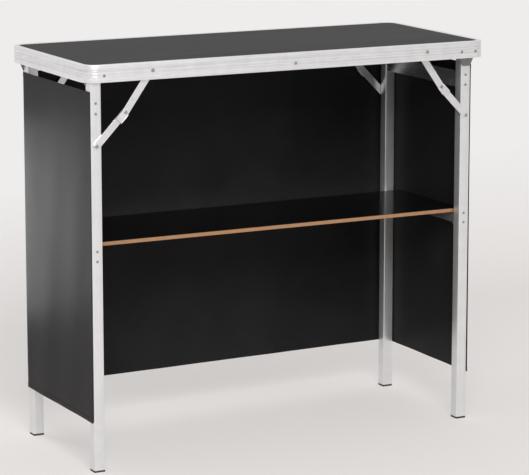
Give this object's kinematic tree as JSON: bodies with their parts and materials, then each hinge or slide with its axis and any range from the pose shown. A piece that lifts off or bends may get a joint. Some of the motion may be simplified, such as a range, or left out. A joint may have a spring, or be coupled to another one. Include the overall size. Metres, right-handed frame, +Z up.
{
  "type": "folding portable bar",
  "caption": "Folding portable bar: rimmed black top on two folding square-tube leg frames with knee braces, a lower shelf and a black cloth skirt round the back and ends.",
  "frame": {"origin": "floor point under the middle of the bar", "axes": "+X along the bar, -Y out of the open serving side, +Z up"},
  "size_m": [1, 0.43, 0.9],
  "materials": {
    "rim_aluminium": "bright extruded, fine grooves",
    "leg_aluminium": "satin anodised",
    "brace_steel": "zinc plated",
    "frame_steel": "grey satin",
    "top_laminate": "black laminate on fibreboard, fine texture",
    "shelf_fibreboard": "bare cut edge",
    "shelf_film": "black semi-gloss film",
    "skirt_cloth": "plain black woven polyester",
    "foot_plastic": "moulded black"
  },
  "bodies": {
    "top": {"top_panel": "top_laminate", "centre_batten": "leg_aluminium", "front_rail": "rim_aluminium", "rear_rail": "rim_aluminium", "left_end_rail": "rim_aluminium", "right_end_rail": "rim_aluminium", "front_left_corner": "rim_aluminium", "front_right_corner": "rim_aluminium", "rear_left_corner": "rim_aluminium", "rear_right_corner": "rim_aluminium", "left_skirt": "skirt_cloth", "right_skirt": "skirt_cloth", "back_skirt": "skirt_cloth", "left_front_leg_bracket": "brace_steel", "left_front_pivot_pin": "brace_steel", "left_front_brace_stud": "brace_steel", "left_rear_leg_bracket": "brace_steel", "left_rear_pivot_pin": "brace_steel", "left_rear_brace_stud": "brace_steel", "right_rear_leg_bracket": "brace_steel", "right_rear_pivot_pin": "brace_steel", "right_rear_brace_stud": "brace_steel", "right_front_leg_bracket": "brace_steel", "right_front_pivot_pin": "brace_steel", "right_front_brace_stud": "brace_steel"},
    "left_leg_frame": {"left_cross_plate": "frame_steel", "left_front_leg": "leg_aluminium", "left_front_foot": "foot_plastic", "left_front_shelf_ledge": "brace_steel", "left_rear_leg": "leg_aluminium", "left_rear_foot": "foot_plastic", "left_rear_shelf_ledge": "brace_steel"},
    "left_front_upper_link": {"left_front_brace_upper_link": "brace_steel"},
    "left_front_lower_link": {"left_front_brace_lower_link": "brace_steel"},
    "left_rear_upper_link": {"left_rear_brace_upper_link": "brace_steel"},
    "left_rear_lower_link": {"left_rear_brace_lower_link": "brace_steel"},
    "right_leg_frame": {"right_cross_plate": "frame_steel", "right_rear_leg": "leg_aluminium", "right_rear_foot": "foot_plastic", "right_rear_shelf_ledge": "brace_steel", "right_front_leg": "leg_aluminium", "right_front_foot": "foot_plastic", "right_front_shelf_ledge": "brace_steel"},
    "right_rear_upper_link": {"right_rear_brace_upper_link": "brace_steel"},
    "right_rear_lower_link": {"right_rear_brace_lower_link": "brace_steel"},
    "right_front_upper_link": {"right_front_brace_upper_link": "brace_steel"},
    "right_front_lower_link": {"right_front_brace_lower_link": "brace_steel"},
    "shelf": {"shelf_board": "shelf_fibreboard", "shelf_top_film": "shelf_film", "left_shelf_bearer": "frame_steel", "right_shelf_bearer": "frame_steel"}
  },
  "joints": [
    {"name": "left_leg_fold", "type": "hinge", "parent": "top", "child": "left_leg_frame", "pos_m": [-0.4725, 0, 0.864], "axis": [0, -1, 0], "range_deg": [0, 90], "deforming": ["back_skirt", "left_skirt", "right_skirt"]},
    {"name": "left_front_brace_rail_pivot", "type": "hinge", "parent": "top", "child": "left_front_upper_link", "pos_m": [-0.3425, 0, 0.882], "axis": [0, -1, 0], "range_deg": [0, 118.46]},
    {"name": "left_front_brace_leg_pivot", "type": "hinge", "parent": "left_leg_frame", "child": "left_front_lower_link", "pos_m": [-0.4725, 0, 0.724], "axis": [0, -1, 0], "range_deg": [-134, 0]},
    {"name": "left_rear_brace_rail_pivot", "type": "hinge", "parent": "top", "child": "left_rear_upper_link", "pos_m": [-0.3425, 0, 0.882], "axis": [0, -1, 0], "range_deg": [0, 118.46]},
    {"name": "left_rear_brace_leg_pivot", "type": "hinge", "parent": "left_leg_frame", "child": "left_rear_lower_link", "pos_m": [-0.4725, 0, 0.724], "axis": [0, -1, 0], "range_deg": [-134, 0]},
    {"name": "right_leg_fold", "type": "hinge", "parent": "top", "child": "right_leg_frame", "pos_m": [0.4725, 0, 0.864], "axis": [0, 1, 0], "range_deg": [0, 90]},
    {"name": "right_rear_brace_rail_pivot", "type": "hinge", "parent": "top", "child": "right_rear_upper_link", "pos_m": [0.3425, 0, 0.882], "axis": [0, 1, 0], "range_deg": [0, 118.46]},
    {"name": "right_rear_brace_leg_pivot", "type": "hinge", "parent": "right_leg_frame", "child": "right_rear_lower_link", "pos_m": [0.4725, 0, 0.724], "axis": [0, 1, 0], "range_deg": [-134, 0]},
    {"name": "right_front_brace_rail_pivot", "type": "hinge", "parent": "top", "child": "right_front_upper_link", "pos_m": [0.3425, 0, 0.882], "axis": [0, 1, 0], "range_deg": [0, 118.46]},
    {"name": "right_front_brace_leg_pivot", "type": "hinge", "parent": "right_leg_frame", "child": "right_front_lower_link", "pos_m": [0.4725, 0, 0.724], "axis": [0, 1, 0], "range_deg": [-134, 0]},
    {"name": "shelf_stow", "type": "slide", "parent": "top", "child": "shelf", "axis": [0, 0, 1], "range_m": [0, 0.369]}
  ],
  "couplings": [
    {"joint": "left_front_brace_rail_pivot", "follows": "left_leg_fold", "ratio": 1.3106},
    {"joint": "left_front_brace_leg_pivot", "follows": "left_leg_fold", "ratio": -1.4834},
    {"joint": "left_rear_brace_rail_pivot", "follows": "left_leg_fold", "ratio": 1.3106},
    {"joint": "left_rear_brace_leg_pivot", "follows": "left_leg_fold", "ratio": -1.4834},
    {"joint": "right_leg_fold", "follows": "left_leg_fold", "ratio": 1},
    {"joint": "right_rear_brace_rail_pivot", "follows": "left_leg_fold", "ratio": 1.3106},
    {"joint": "right_rear_brace_leg_pivot", "follows": "left_leg_fold", "ratio": -1.4834},
    {"joint": "right_front_brace_rail_pivot", "follows": "left_leg_fold", "ratio": 1.3106},
    {"joint": "right_front_brace_leg_pivot", "follows": "left_leg_fold", "ratio": -1.4834},
    {"joint": "shelf_stow", "follows": "left_leg_fold", "m_per_rad": 0.23428}
  ]
}
